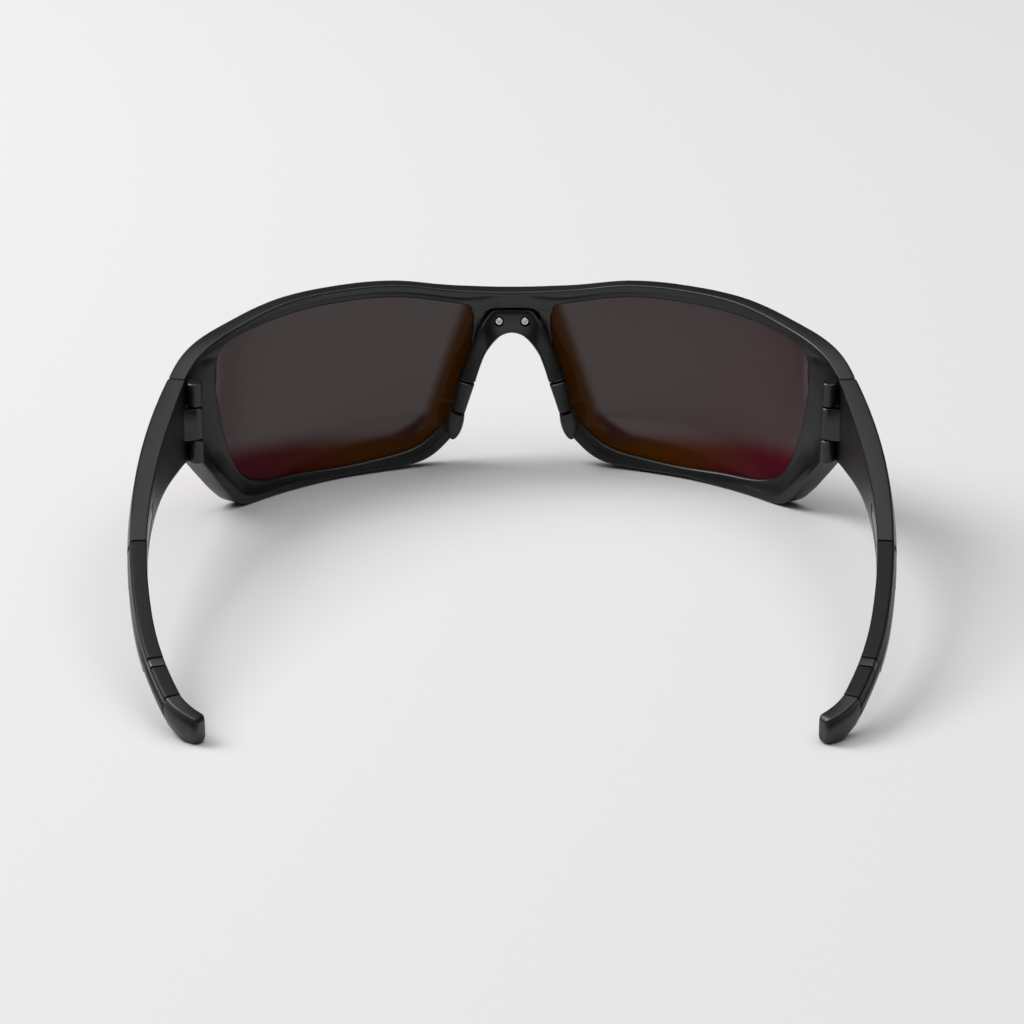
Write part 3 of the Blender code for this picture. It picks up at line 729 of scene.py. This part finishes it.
def eased(knots, s):
    """Cubic between knots, with each knot's slope taken from its neighbours."""
    k = np.asarray(knots, float)
    slope = np.gradient(k[:, 1], k[:, 0])
    i = np.clip(np.searchsorted(k[:, 0], s) - 1, 0, len(k) - 2)
    span = k[i + 1, 0] - k[i, 0]
    u = np.clip((s - k[i, 0]) / span, 0.0, 1.0)
    start = (1.0 + 2.0 * u) * (1.0 - u) ** 2 * k[i, 1] + u * (1.0 - u) ** 2 * span * slope[i]
    return start + u * u * (3.0 - 2.0 * u) * k[i + 1, 1] + u * u * (u - 1.0) * span * slope[i + 1]


def temple_size(s):
    """Top, bottom, thickness and belly at length s; the tip's underside rests on z = 0."""
    top = ARM_TOP - ARM_FALL * (s - ARM_START)
    bottom = np.maximum(top - eased(ARM_HEIGHT, s), 0.0)
    return top, bottom, eased(ARM_THICK, s), BELLY * smooth(ARM_START, BELLY_FULL, s)


def lengths(start, end, step=0.5):
    """Even steps, with a few short ones at both ends for the drawn-in edge."""
    fine = END_ROUND * np.array([0.0, 0.12, 0.3, 0.6, 1.0])
    inner = np.linspace(start + END_ROUND, end - END_ROUND, max(int((end - start) / step), 3))[1:-1]
    return np.concatenate((start + fine, inner, end - fine[::-1]))


def section(s, t0, t1, z0, z1, radii, belly):
    """Rounded rectangle in depth and height: four quarter circles, joined by straight sides."""
    near = np.minimum(s - s[0], s[-1] - s)
    shrink = rounded(near, END_ROUND)
    t0, t1, z0, z1 = t0 + shrink, t1 - shrink, z0 + shrink, z1 - shrink
    r_outer_top, r_inner_top, r_inner_low, r_outer_low = radii
    arc = np.linspace(0.0, math.pi / 2, 7)
    corners = (
        (t0, z1, r_outer_top, 1, -1, math.pi),
        (t1, z1, r_inner_top, -1, -1, math.pi / 2),
        (t1, z0, r_inner_low, -1, 1, 0.0),
        (t0, z0, r_outer_low, 1, 1, -math.pi / 2),
    )
    t, z = [], []
    for edge_t, edge_z, r, in_t, in_z, start in corners:
        a = start - arc
        r = np.broadcast_to(r, s.shape)[:, None]
        t.append(edge_t[:, None] + in_t * r + r * np.cos(a))
        z.append(edge_z[:, None] + in_z * r + r * np.sin(a))
    rise = np.linspace(0, 1, 10)[1:-1]
    bow = belly[:, None] * (1.0 - (2.0 * rise - 1.0) ** 2)
    t.append(t0[:, None] - bow)
    z.append(z[3][:, -1:] + (z[0][:, :1] - z[3][:, -1:]) * rise)
    t.insert(2, np.repeat(t1[:, None], 8, axis=1))
    z.insert(2, z[1][:, -1:] + (z[2][:, :1] - z[1][:, -1:]) * rise)
    t, z = np.concatenate(t, axis=1), np.concatenate(z, axis=1)
    return wrap(s[:, None], z, t)


# %% Arm, strips, cap and inlays
def arm_skin():
    """The bar, with its top edge dropped by the step where the strips are let in."""
    cut = GRIP[0] - GAP
    s = np.concatenate((lengths(ARM_START, cut)[:-5], [cut - 0.1, cut], lengths(cut, ARM_END)[5:]))
    top, bottom, thick, belly = temple_size(s)
    top = top - np.where(s > cut - 0.05, STEP, 0.0)
    edge = np.where(s > cut - 0.05, 0.2, EDGE_TOP)
    return tube(section(s, 0.0 * s, thick, bottom, top, (edge, 0.3, 1.0, 1.0), belly))


def strip_skin(start, end):
    """A strip in the step: flush with both faces of the arm and 1 mm thick."""
    s = lengths(start, end)
    top, _, thick, _ = temple_size(s)
    return tube(section(s, 0 * s, thick, top - GRIP_T, top, (EDGE_TOP, 0.3, 0.1, 0.1), 0 * s))


def tip_skin():
    """The cap: the arm's section, drawn in to a soft end over its last 2 mm."""
    s = lengths(ARM_END + GAP, TIP_END - 0.1, 0.25)
    top, bottom, thick, belly = temple_size(s)
    gone = rounded(TIP_END - s, 1.2)
    low = np.maximum(bottom, 0.45 * smooth(205.2, TIP_END, s))
    return tube(section(s, gone, thick - gone, low, top - gone, (0.5, 0.5, 0.8, 0.8), belly))


def inlay_skin(start, end, half, outer, clear):
    """Plate lying along the middle of one face; clear shrinks it from its pocket all round."""
    s = lengths(start + clear, end - clear)
    top, bottom, thick, belly = temple_size(s)
    if outer:
        middle = (top - STEP + bottom) / 2.0
        t0, t1 = (-belly + 0.05, 0.7 - clear + 0 * s) if clear else (-1.5 + 0 * s, 0.7 + 0 * s)
    else:
        middle = (top + bottom) / 2.0
        t0, t1 = thick - 0.8 + clear, (thick - 0.05 if clear else thick + 1.0)
    half = half - clear
    return tube(section(s, t0, t1, middle - half, middle + half, (0.1,) * 4, 0 * s))


OUTER_INLAY = (160.6, 185.4, 0.9, True)
INNER_INLAY = (133.4, 146.6, 1.3, False)
arm = bored(arm_skin(), [inlay_skin(*OUTER_INLAY, 0.0), inlay_skin(*INNER_INLAY, 0.0)])
temple_parts = (
    ("temple_arm_", [arm, arm_barrel], NYLON, "nylon_satin_black"),
    ("temple_grip_", [strip_skin(*GRIP)], RUBBER, "rubber_black"),
    ("temple_band_", [strip_skin(GRIP[1] + GAP, BAND_END)], BAND, "nylon_band_black"),
    ("temple_pad_", [strip_skin(BAND_END + GAP, ARM_END)], RUBBER, "rubber_black"),
    ("temple_tip_", [tip_skin()], TIP, "nylon_tip_black"),
    ("temple_plate_", [inlay_skin(*OUTER_INLAY, GAP)], INLAY, "nylon_inlay_black"),
    ("temple_inlay_", [inlay_skin(*INNER_INLAY, GAP)], INLAY, "nylon_inlay_black"),
)
for side, turn in (("right", lambda skin: skin), ("left", mirrored)):
    for name, skins, finish, slot in temple_parts:
        make_piece(name + side, [turn(skin) for skin in skins], finish, "temple_" + side)

# %% [markdown]
# ## Studio
#
# Black plastic shows only what it reflects, so the room matters more than the paint.  The
# walls are dark and the ceiling bright: a surface seen at a low angle then mirrors the
# dark wall and keeps its depth.  One broad soft lamp stands high on the left and a little
# behind, and a plain pale floor throws light back into the undersides.

# %% Floor, lamps and camera
def paper_floor():
    size = 6.0
    corners = [(-size, -size, 0), (size, -size, 0), (size, size, 0), (-size, size, 0)]
    mesh = bpy.data.meshes.new("floor")
    mesh.from_pydata(corners, [], [(0, 1, 2, 3)])
    finish = new_finish("matt_paper", Roughness=0.9)[0]
    finish.node_tree.nodes["Principled BSDF"].inputs["Base Color"].default_value = linear("#e6e6e6")
    mesh.materials.append(finish)
    floor = bpy.data.objects.new("floor", mesh)
    bpy.context.scene.collection.objects.link(floor)


def lamp(name, place, target, size, watts):
    """Square lamp at a place, its face turned towards the target."""
    light = bpy.data.lights.new(name, "AREA")
    light.size = size
    light.energy = watts
    made = bpy.data.objects.new(name, light)
    made.location = place
    aim = np.array(target) - np.array(place)
    flat = math.hypot(aim[0], aim[1])
    made.rotation_euler = (math.atan2(flat, -aim[2]), 0.0, math.atan2(aim[1], aim[0]) - math.pi / 2)
    bpy.context.scene.collection.objects.link(made)


paper_floor()
lamp("key", (-1.3, 0.35, 1.35), (0.0, 0.0, 0.0), 1.1, 24.0)
WALL = 0.05
CEILING = 1.55
room = bpy.data.worlds.new("room")
room.use_nodes = True
tree = room.node_tree
direction = add_node(tree, "ShaderNodeTexCoord", {}, {}).outputs["Generated"]
height = add_node(tree, "ShaderNodeSeparateXYZ", {}, {"Vector": direction})
# The height is the sine of the elevation; the ceiling brightens from 37 up to 67 degrees.
shade = spread(tree, height.outputs["Z"], WALL, CEILING, 0.60, 0.92, "SMOOTHSTEP")
tree.links.new(shade, tree.nodes["Background"].inputs["Strength"])
tree.nodes["Background"].inputs["Color"].default_value = linear("#f4f5f6")
bpy.context.scene.world = room
bpy.context.scene.view_settings.view_transform = "Standard"

LOOK_AT_Y = 0.0422
DISTANCE = 0.7
ELEVATION = math.radians(20.0)
camera = bpy.data.objects.new("camera", bpy.data.cameras.new("camera"))
camera.data.lens = 116.5
camera.data.clip_start = 0.01
camera.location = (0.0, LOOK_AT_Y - DISTANCE * math.cos(ELEVATION), DISTANCE * math.sin(ELEVATION))
camera.rotation_euler = (math.pi / 2 - ELEVATION, 0.0, 0.0)
bpy.context.scene.collection.objects.link(camera)
bpy.context.scene.camera = camera
